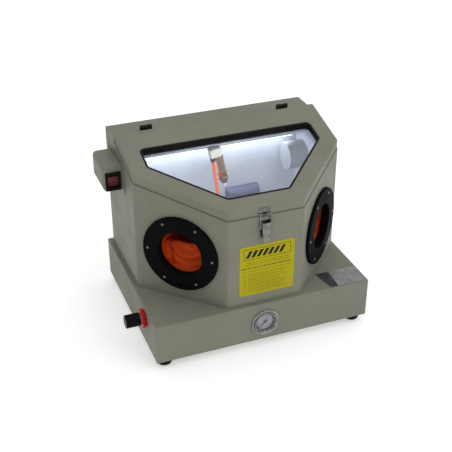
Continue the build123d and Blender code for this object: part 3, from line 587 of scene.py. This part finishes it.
def glowing(name, colour, strength):
    # a ribbed lens: stretched noise darkens the glow a little
    _, tree, shader, place = newMaterial(name)
    ribs = noise(tree, stretched(tree, place, (700.0, 30.0, 30.0)), 1.0, 1.0)
    shade = mixed(tree, between(tree, ribs, 0.3, 0.7), tuple(c * 0.9 for c in colour), colour)
    for title, value in (("Base Color", shade), ("Emission Color", shade),
                         ("Emission Strength", strength), ("Roughness", 0.3)):
        feed(tree, shader.inputs[title], value)


# the holes' dark colour is painted shade, the dark seen through a perforation
shadedFilterHoles = {"pitch": 0.0046, "cover": 0.003, "colour": (0.13, 0.13, 0.15)}


def perforated(name):
    # round holes over the can's curved wall, placed by angle times radius and depth along the
    # axis; the holes are not cut, each is a dark dot of painted shade
    material = finish(name, finishes["galvanised"])
    tree = material.node_tree
    low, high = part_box("filter_can")
    place = tree.nodes.new("ShaderNodeTexCoord").outputs["Object"]
    axes = add(tree, "ShaderNodeSeparateXYZ", None, Vector=place)
    up = calc(tree, "SUBTRACT", axes.outputs["Z"], (low.z + high.z) / 2)
    back = calc(tree, "SUBTRACT", axes.outputs["Y"], (low.y + high.y) / 2)
    arc = calc(tree, "MULTIPLY", calc(tree, "ARCTAN2", up, back), (high.z - low.z) / 2)
    hole = placeGroup(tree, dotGroup, U=arc, V=axes.outputs["X"],
                      Pitch=shadedFilterHoles["pitch"])["Hole"]
    wall = calc(tree, "GREATER_THAN", axes.outputs["X"], low.x + shadedFilterHoles["cover"])
    target = tree.nodes["Principled BSDF"].inputs["Base Color"]
    before = target.links[0].from_socket
    # painted shade: each hole is a dark dot on the wall
    shadedHoles = mixed(tree, calc(tree, "MULTIPLY", hole, wall), before, shadedFilterHoles["colour"])
    tree.links.new(shadedHoles, target)


for title, row in finishes.items():
    finish(title, row)
finish("paintShell", finishes["paint"], interior)
glass("windowGlass", (0.96, 0.985, 0.985))
glass("gaugeGlass", (0.98, 0.98, 0.985))
glowing("lampGlow", (0.85, 0.92, 1.0), 2.6)
perforated("filterWall")

nodeFinish = {
    "paint": ["base_housing", "bottom_plate", "lid_tray", "switch_box", "switch_plate"],
    "paintShell": ["cabinet_shell"],
    "innerSteel": ["media_hopper", "lamp_housing", "gun_bracket", "pickup_tube",
                   "glass_retainer"],
    "galvanised": ["work_grate", "exhaust_spigot", "port_backing_rings"],
    "filterWall": ["filter_can"],
    "hoodBlue": ["vent_baffle"],
    "footRubber": ["rubber_feet", "window_gasket", "lid_seal"],
    "brightSteel": ["body_screws", "port_screws", "lid_rivets", "retainer_studs", "hinge_pins",
                    "latch_base", "latch_keeper", "latch_lever", "latch_loop"],
    "blackMetal": ["hinge_body_leaves", "hinge_lid_leaves"],
    "coneMetal": ["nozzle_cone"],
    "ringPlastic": ["glove_ring_left", "glove_ring_right"],
    "blackPlastic": ["regulator_knob", "switch_bezel", "power_gland", "media_fitting",
                     "gauge_case", "gauge_needle"],
    "chrome": ["gauge_bezel"],
    "nickel": ["gun_barrel"],
    "dialFace": ["gauge_dial"],
    "windowGlass": ["window_glass"],
    "gaugeGlass": ["gauge_lens"],
    "redPlastic": ["regulator_lock_ring"],
    "rockerRed": ["switch_rocker"],
    "zincBlock": ["regulator_body"],
    "whitePlastic": ["gun_head"],
    "lampGlow": ["lamp_lens"],
    "brass": ["gun_nut", "air_inlet"],
    "ceramic": ["nozzle_tip"],
    "labelYellow": ["label_plate"],
    "plateSilver": ["name_plate"],
    "blackHose": ["supply_hose", "gun_air_hose", "gauge_hose"],
    "orangeHose": ["media_hose"],
    "gloveRubber": ["glove_left", "glove_right"],
}
for title, members in nodeFinish.items():
    for member in members:
        mesh = nodes[member].data
        mesh.materials.clear()
        mesh.materials.append(materials[title])
print("finishes ready:", len(materials))

# mesh helpers


def gridFaces(rows, columns, closed=True):
    # quads between neighbouring rows and columns; closed joins the last column to the first
    last = columns if closed else columns - 1
    down, along = np.meshgrid(np.arange(rows - 1), np.arange(last), indexing="ij")
    after = (along + 1) % columns
    here, below = down * columns, (down + 1) * columns
    return np.stack([here + along, here + after, below + after, below + along],
                    -1).reshape(-1, 4)


def piece(name, points, faces, finishName, smooth=True):
    mesh = bpy.data.meshes.new(name)
    faces = faces.tolist() if isinstance(faces, np.ndarray) else faces
    mesh.from_pydata(np.asarray(points, float).reshape(-1, 3).tolist(), [], faces)
    mesh.polygons.foreach_set("use_smooth", np.full(len(mesh.polygons), smooth))
    mesh.materials.append(materials[finishName])
    mesh.update()
    shape = bpy.data.objects.new(name, mesh)
    scene.collection.objects.link(shape)
    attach(shape, "cabinet")
    return shape


def weld(shape, distance):
    shape.modifiers.new("weld", "WELD").merge_threshold = distance


def smoothStep(value, low, high):
    # 0 below low, 1 above high, and three squares less two cubes of the share in between
    t = np.clip((value - low) / (high - low), 0.0, 1.0)
    return t * t * (3 - 2 * t)


def ridge(distance, width):
    # a bell: e to minus the square of distance over width
    return np.exp(-(distance / width) ** 2)


# hoses: each is one smooth line led along listed points

hoses = {
    "gunAirHose": {
        "replaces": "gun_air_hose", "finish": "blackHose", "slot": "black_hose",
        "diameter": 0.008, "length": 0.925, "lay": "loose", "stiffness": "medium",
        "points": [
            (-0.001, 0.1306, 0.414), (-0.001, 0.150, 0.416), (-0.008, 0.170, 0.428),
            (-0.024, 0.184, 0.445), (-0.050, 0.190, 0.452), (-0.090, 0.192, 0.454),
            (-0.147, 0.192, 0.454), (-0.203, 0.190, 0.453), (-0.239, 0.182, 0.452),
            (-0.260, 0.172, 0.440), (-0.272, 0.162, 0.419), (-0.272, 0.160, 0.390),
            (-0.273, 0.159, 0.340), (-0.271, 0.160, 0.290), (-0.272, 0.161, 0.240),
            (-0.272, 0.160, 0.190), (-0.2716, 0.160, 0.157), (-0.272, 0.160, 0.120),
            (-0.2725, 0.147, 0.0975), (-0.2735, 0.1245, 0.0845), (-0.276, 0.098, 0.0845),
            (-0.279, 0.060, 0.088), (-0.282, 0.012, 0.094), (-0.284, -0.040, 0.100),
            (-0.284, -0.076, 0.103), (-0.284, -0.1119, 0.104),
        ],
    },
    "supplyHose": {
        "replaces": "supply_hose", "finish": "blackHose", "slot": "black_hose", "diameter": 0.008,
        "length": 0.325, "lay": "loose", "stiffness": "medium",
        "points": [
            (-0.250, 0.2124, 0.080), (-0.251, 0.160, 0.081), (-0.254, 0.105, 0.085),
            (-0.258, 0.050, 0.088), (-0.262, -0.005, 0.090), (-0.264, -0.060, 0.091),
            (-0.264, -0.1119, 0.092),
        ],
    },
    "gaugeHose": {
        "replaces": "gauge_hose", "finish": "blackHose", "slot": "black_hose", "diameter": 0.005,
        "length": 0.318, "lay": "loose", "stiffness": "medium",
        "points": [
            (-0.262, -0.1531, 0.096), (-0.262, -0.1695, 0.096), (-0.254, -0.1835, 0.0955),
            (-0.240, -0.1915, 0.0945), (-0.215, -0.192, 0.092), (-0.170, -0.187, 0.088),
            (-0.120, -0.173, 0.084), (-0.075, -0.157, 0.080), (-0.048, -0.1505, 0.078),
            (-0.024, -0.150, 0.0765), (-0.010, -0.158, 0.076), (-0.002, -0.172, 0.0755),
            (-0.002, -0.1924, 0.0755),
        ],
    },
    "mediaHose": {
        "replaces": "media_hose", "finish": "orangeHose", "slot": "orange_hose",
        "diameter": 0.0095, "length": 0.307, "lay": "hanging", "stiffness": "medium",
        "points": [
            (-0.01505, 0.1175, 0.38407), (-0.01155, 0.1175, 0.36607), (-0.00905, 0.1165, 0.33807),
            (-0.00455, 0.1155, 0.30607), (-0.00305, 0.1135, 0.27307), (-0.00355, 0.1095, 0.23807),
            (-0.00305, 0.1005, 0.20307), (-0.00105, 0.0845, 0.17307), (0.00195, 0.0625, 0.14607),
            (0.00295, 0.0395, 0.12607), (0.00295, 0.0195, 0.11107),
        ],
    },
}
hoseMesh = {"along": 10, "around": 5}


def makeHose(name, row):
    points = np.array(row["points"])
    curve = bpy.data.curves.new(name, "CURVE")
    curve.dimensions = "3D"
    curve.resolution_u = hoseMesh["along"]
    curve.bevel_depth = row["diameter"] / 2
    curve.bevel_resolution = hoseMesh["around"]
    curve.use_fill_caps = True
    line = curve.splines.new("NURBS")
    line.points.add(len(points) - 1)
    line.points.foreach_set("co", np.hstack([points, np.ones((len(points), 1))]).ravel())
    line.order_u = 3
    line.use_endpoint_u = True
    curve.materials.append(materials[row["finish"]])
    tube = bpy.data.objects.new(name, curve)
    scene.collection.objects.link(tube)
    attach(tube, "cabinet")
    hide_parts(row["replaces"])


for title, row in hoses.items():
    makeHose(title, row)
print("hoses ready")

# gloves: a rubber cuff over each port's sleeve, folded up into the opening, then a slack hand

port = {"x": 0.19475, "y": -0.12725, "z": 0.270}
glove = {
    "columns": 144,
    "rows": 110,
    "cuffRadius": 0.0648,
    "sleeveRadius": 0.0655,
    "narrowing": 0.020,
    "thickness": 0.0012,
    "merge": 0.00002,
    "tipFrom": 0.80,
    # depths behind the port's face
    "cuff": 0.0060,
    "neck": 0.0145,
    "rise": (0.0150, 0.033),
    "fall": (0.034, 0.062),
    "hand": (0.066, 0.092),
    "end": 0.116,
    # the lower side's crest, how far its middle sags and how softly it blends in
    "crest": 0.014,
    "sag": 0.012,
    "soft": 0.0045,
    "handDrop": 0.010,
    "knuckle": 0.10,
}
# creases on the ramp: how far each goes in, and its half width
crease = {
    "fold": (0.0150, 0.0050),
    "belly": (-0.0075, 0.009),
    "low": (0.0060, 0.004),
    "side": (0.0110, 0.0045),
    "puckers": 0.0020,
}


def portPoints(side, right, up, deep):
    # a point on a port: right along its face, up, and inward from the face
    leg = 1 / math.sqrt(2)
    x = side * port["x"] + right * leg - side * deep * leg
    y = port["y"] + right * side * leg + deep * leg
    return np.stack([x, y, port["z"] + up + 0 * x], -1)


def creases(right, up, rise, deep, seed):
    # bells round four lines on the ramp, plus a product of two sine waves; 0 off the ramp
    onRamp = smoothStep(rise, 0.02, 0.2) * (1 - smoothStep(deep, glove["rise"][1], 0.040))
    foldLine = np.where(right < 0, 19.2, 6.0) * right ** 2 - 0.033
    inward = 0.0
    for title, distance in (
        ("fold", up - foldLine),
        ("belly", up - foldLine - 0.014),
        ("low", up + 0.052 - 3.0 * right ** 2),
        ("side", right + 0.046 + 0.25 * up),
    ):
        size, width = crease[title]
        inward = inward + size * ridge(distance, width)
    wave = (np.sin(70 * right + 5 * np.sin(60 * up + seed) + seed)
            * np.sin(95 * up + 40 * right + 2 * seed))
    return (inward + crease["puckers"] * wave) * onRamp


def makeGlove(name, side, node, seed):
    # rows run inward and columns go round; the radius narrows, and closes at the tip like an
    # ellipse; the lower side is lifted to a level crest, by the soft maximum of both heights
    v, u = np.meshgrid(np.linspace(0, 1, glove["rows"]),
                       np.arange(glove["columns"]) / glove["columns"], indexing="ij")
    cuff = glove["cuffRadius"]
    angle = 2 * np.pi * u
    deep = glove["cuff"] + (glove["end"] - glove["cuff"]) * v
    taper = smoothStep(deep, glove["neck"], glove["end"])
    toTip = ((v - glove["tipFrom"]) / (1 - glove["tipFrom"])).clip(0, 1)
    closing = np.sqrt(np.clip(1 - toTip ** 2, 0, 1))
    radius = (cuff - glove["narrowing"] * taper) * closing
    right, up = radius * np.cos(angle), radius * np.sin(angle)

    rise = smoothStep(deep, *glove["rise"]) * (1 - smoothStep(deep, *glove["fall"]))
    level = rise * (cuff + glove["crest"]) - cuff
    aside = right / cuff
    sag = glove["sag"] * rise * aside ** 2 * np.sin(2.2 * aside + 0.6)
    wall = (level + sag) * closing
    lifted = wall + glove["soft"] * np.logaddexp(0, (up - wall) / glove["soft"])
    share = smoothStep(rise, 0.0, 0.12)
    up = up * (1 - share) + lifted * share
    inward = creases(right, up, rise, deep, seed)

    # slack waves round the tube, and shallow hollows between the fingers
    loose = smoothStep(deep, glove["neck"], 0.030)
    pucker = 1 + loose * (0.030 * np.sin(3 * angle + 40 * deep + seed)
                          + 0.018 * np.sin(8 * angle - 90 * deep))
    hand = smoothStep(deep, *glove["hand"])
    knuckles = 1 - glove["knuckle"] * hand * np.abs(np.cos(2.0 * angle + 0.5)) ** 6
    right, up = right * pucker * knuckles, up * (1 + (pucker - 1) * 0.6) * knuckles
    up = up - glove["handDrop"] * hand
    shrink = np.minimum(1.0, glove["sleeveRadius"] / np.maximum(np.hypot(right, up), 1e-6))
    grid = portPoints(side, right * shrink, up * shrink, deep + inward)
    faces = gridFaces(glove["rows"], glove["columns"])[:, ::-1]
    shape = piece(name, grid, faces, "gloveRubber")
    weld(shape, glove["merge"])
    skin = shape.modifiers.new("wall", "SOLIDIFY")
    skin.thickness = glove["thickness"]
    skin.offset = -1.0
    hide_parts(node)


makeGlove("gloveLeft", -1, "glove_left", 0.4)
makeGlove("gloveRight", 1, "glove_right", 1.7)
print("gloves ready")

# port screws: pan heads with a cross recess

screws = {
    "circle": 0.091,
    "count": 6,
    "seat": 0.0075,
    "radius": 0.0037,
    "height": 0.0026,
    "rim": 0.0006,
    "recessWidth": 0.0006,
    "recessReach": 0.0022,
    "recessDepth": 0.0011,
    "turn": 0.35,
    "turnStep": 1.3,
    "rings": 15,
    "spokes": 48,
    "merge": 0.000005,
}


def screwHead():
    # height falls with the square of the radius, under a root; the cross is cut where a point
    # is near either arm's middle line and near the centre; two more rings make the rim
    share = np.concatenate([np.linspace(0.0, 1.0, screws["rings"]) ** 0.9, [1.0, 1.0]])
    spokes = np.arange(screws["spokes"]) * 2 * np.pi / screws["spokes"]
    radius, angle = np.meshgrid(share * screws["radius"], spokes, indexing="ij")
    x, y = radius * np.cos(angle), radius * np.sin(angle)
    outward = (radius / screws["radius"]) ** 2
    high = screws["height"] * np.sqrt(np.clip(1 - 0.8 * outward, 0, 1))
    width, reach = screws["recessWidth"], screws["recessReach"]
    arms = 1 - smoothStep(np.minimum(np.abs(x), np.abs(y)), width * 0.5, width)
    high = high - screws["recessDepth"] * arms * (1 - smoothStep(radius, reach * 0.8, reach))
    high[-2], high[-1] = screws["rim"], 0.0
    return x, y, high


def makePortScrews():
    # each head is turned by its own angle, then set on the circle at even steps
    x, y, high = screwHead()
    points, faces = [], []
    for side in (-1, 1):
        for k in range(screws["count"]):
            around = 2 * np.pi * k / screws["count"]
            spin = screws["turn"] + screws["turnStep"] * k + side
            right = screws["circle"] * np.cos(around) + x * np.cos(spin) - y * np.sin(spin)
            up = screws["circle"] * np.sin(around) + x * np.sin(spin) + y * np.cos(spin)
            points.append(portPoints(side, right, up, -(screws["seat"] + high)).reshape(-1, 3))
            faces.append(gridFaces(*x.shape)[:, ::-1] + len(faces) * x.size)
    shape = piece("portScrewHeads", np.vstack(points), np.vstack(faces), "dullSteel")
    weld(shape, screws["merge"])
    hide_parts("port_screws")


makePortScrews()
print("port screws ready")

# printed plates: flat strips laid just proud of their plate

rng = np.random.default_rng(7)


def strips(name, corners, finishName):
    # corners holds four points for each strip
    corners = np.asarray(corners, float)
    faces = np.arange(corners.shape[0] * 4).reshape(-1, 4)
    piece(name, corners, faces, finishName, smooth=False)


# the rows' values: how far down, left end, right end (shares of the plate), and thickness
label = {
    "box": (0.075, 0.055, 0.925, 0.270),
    "line": 0.0011,
    "stripes": 7,
    "stripeFrom": 0.030,
    "stripeMargin": 0.15,
    "stripeShare": 0.60,
    "stripeInset": 0.040,
    "lean": 0.55,
    "rows": [
        (0.330, 0.14, 0.90, 0.0009), (0.372, 0.10, 0.92, 0.0009), (0.440, 0.03, 0.97, 0.0022),
        (0.505, 0.06, 0.93, 0.0009), (0.575, 0.16, 0.86, 0.0010), (0.625, 0.16, 0.80, 0.0010),
        (0.675, 0.16, 0.88, 0.0010), (0.725, 0.16, 0.74, 0.0010), (0.775, 0.16, 0.90, 0.0010),
        (0.825, 0.16, 0.84, 0.0010), (0.875, 0.16, 0.78, 0.0010), (0.925, 0.16, 0.87, 0.0010),
    ],
    "listLeft": 0.16,
    "bullet": (0.085, 0.115),
    "dash": (0.03, 0.10),
    "gap": 0.014,
    "lift": 0.00006,
}


def makeLabelPrint():
    # a framed row of slanted blocks, then rows of short dashes; v runs down from the top edge
    low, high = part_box("label_plate")
    wide, tall = high.x - low.x, high.z - low.z
    front = low.y - label["lift"]

    def quad(u0, u1, v0, v1, slant=0.0):
        lean = slant * (v1 - v0) * tall / wide
        return [(low.x + u * wide, front, high.z - v * tall)
                for u, v in ((u0, v1), (u1, v1), (u1 + lean, v0), (u0 + lean, v0))]

    u0, v0, u1, v1 = label["box"]
    edgeU, edgeV = label["line"] / wide, label["line"] / tall
    marks = [quad(u0, u1, v0, v0 + edgeV), quad(u0, u1, v1 - edgeV, v1),
             quad(u0, u0 + edgeU, v0, v1), quad(u1 - edgeU, u1, v0, v1)]
    step = (u1 - u0 - label["stripeMargin"]) / label["stripes"]
    inset = label["stripeInset"]
    for k in range(label["stripes"]):
        left = u0 + label["stripeFrom"] + k * step
        right = left + step * label["stripeShare"]
        marks.append(quad(left, right, v0 + inset, v1 - inset, label["lean"]))
    for v, left, right, thick in label["rows"]:
        half = thick / tall / 2
        if left == label["listLeft"]:
            marks.append(quad(*label["bullet"], v - half, v + half))
        while left < right - label["dash"][0]:
            word = min(rng.uniform(*label["dash"]), right - left)
            marks.append(quad(left, left + word, v - half, v + half))
            left += word + label["gap"]
    strips("labelPrint", marks, "printBlack")


# distances from the plate's left side in metres; the rows' places are shares of its depth
namePlate = {
    "lift": 0.00006,
    "margin": 0.0006,
    "dark": (0.0144, 0.0350, 0.0390, 0.0006),
    "rowFrom": 0.16,
    "rowStep": 0.11,
    "rows": 7,
    "left": 0.046,
    "right": (0.014, 0.010),
    "thick": 0.0012,
    "boldRow": 5,
    "bolder": 0.0014,
    "dash": (0.004, 0.014),
    "gap": 0.003,
}


def makeNamePlatePrint():
    # a dark field with a slanted side, and faint rows on the bright field; no lettering
    row = namePlate
    low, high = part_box("name_plate")
    top = high.z + row["lift"]
    near, far = low.y + row["margin"], high.y - row["margin"]
    dark = [(low.x + x, y, top) for x, y in zip(row["dark"], (near, near, far, far))]
    strips("namePlateDark", [dark], "plateDark")
    marks = []
    for k in range(row["rows"]):
        y = low.y + (high.y - low.y) * (row["rowFrom"] + row["rowStep"] * k)
        back = y + row["thick"] + row["bolder"] * (k == row["boldRow"])
        at = low.x + row["left"]
        while at < high.x - row["right"][0]:
            word = rng.uniform(*row["dash"])
            end = min(at + word, high.x - row["right"][1])
            marks.append([(at, y, top), (end, y, top), (end, back, top), (at, back, top)])
            at += word + row["gap"]
    strips("namePlateRows", marks, "printGrey")


dial = {
    "radius": 0.0225,
    "arc": 0.0004,
    "rimFrom": 0.0011,
    "rim": 0.0264,
    "rimPoints": 96,
    "arcPoints": 73,
    "minor": 0.0016,
    "major": 0.0032,
    "thin": 0.00028,
    "wide": 0.0006,
    "start": 225.0,
    "sweep": 270.0,
    "steps": 50,
    "every": 5,
    "numbers": 0.0165,
    "numberSize": 0.0040,
    "numberStep": 2,
    "last": 10,
    "lift": 0.00008,
}


def onDial(centre, x, z):
    # a flat point of the dial, moved to its centre and put just before its face
    return np.stack([centre[0] + x, np.full(np.shape(x), centre[1]), centre[2] + z], -1)


def dialRing(name, centre, angle, radii, closed):
    # two rows of points, on circles of two radii
    rows = np.stack([onDial(centre, r * np.cos(angle), r * np.sin(angle)) for r in radii])
    piece(name, rows, gridFaces(2, angle.size, closed), "printBlack",
          smooth=False)


def makeDialTicks(centre):
    # even angles along the sweep; each tick is a thin quad along its own radius
    k = np.arange(dial["steps"] + 1)
    angle = np.radians(dial["start"] - dial["sweep"] * k / dial["steps"])
    big = k % dial["every"] == 0
    inner = dial["radius"] - np.where(big, dial["major"], dial["minor"])
    outer = np.full(k.size, dial["radius"])
    half = np.where(big, dial["wide"], dial["thin"]) / 2
    cos, sin = np.cos(angle), np.sin(angle)
    corners = [onDial(centre, cos * reach - sin * half * way, sin * reach + cos * half * way)
               for reach, way in ((inner, -1), (outer, -1), (outer, 1), (inner, 1))]
    strips("dialTicks", np.stack(corners, 1), "printBlack")


def makeDialNumbers(centre):
    # plain numbers, filled flat, each centred on its own radius
    points, faces, start = [], [], 0
    for number in range(0, dial["last"] + 1, dial["numberStep"]):
        angle = math.radians(dial["start"] - dial["sweep"] * number / dial["last"])
        text = bpy.data.curves.new("number", "FONT")
        text.body = str(number)
        text.size = dial["numberSize"]
        text.align_x, text.align_y = "CENTER", "CENTER"
        holder = bpy.data.objects.new("number", text)
        flat = bpy.data.meshes.new_from_object(holder)
        co = np.empty(3 * len(flat.vertices))
        flat.vertices.foreach_get("co", co)
        co = co.reshape(-1, 3)
        corners = np.empty(len(flat.loops), np.int32)
        flat.loops.foreach_get("vertex_index", corners)
        firsts = np.empty(len(flat.polygons), np.int32)
        flat.polygons.foreach_get("loop_start", firsts)
        points.append(onDial(centre, dial["numbers"] * math.cos(angle) + co[:, 0],
                             dial["numbers"] * math.sin(angle) + co[:, 1]))
        faces += [face.tolist() for face in np.split(corners + start, firsts[1:])]
        start += len(co)
        bpy.data.objects.remove(holder)
        bpy.data.meshes.remove(flat)
    piece("dialNumbers", np.vstack(points), faces, "printBlack", smooth=False)


def makeDialPrint():
    low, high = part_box("gauge_dial")
    centre = ((low.x + high.x) / 2, low.y - dial["lift"], (low.z + high.z) / 2)
    radius = dial["radius"]
    makeDialTicks(centre)
    turn = np.linspace(0, -2 * np.pi, dial["rimPoints"] + 1)[:-1]
    dialRing("dialRim", centre, turn, (radius + dial["rimFrom"], dial["rim"]), True)
    last = dial["start"] - dial["sweep"]
    turn = np.radians(np.linspace(dial["start"], last, dial["arcPoints"]))
    dialRing("dialArc", centre, turn, (radius, radius + dial["arc"]), False)
    makeDialNumbers(centre)


makeLabelPrint()
makeNamePlatePrint()
makeDialPrint()
print("prints ready")
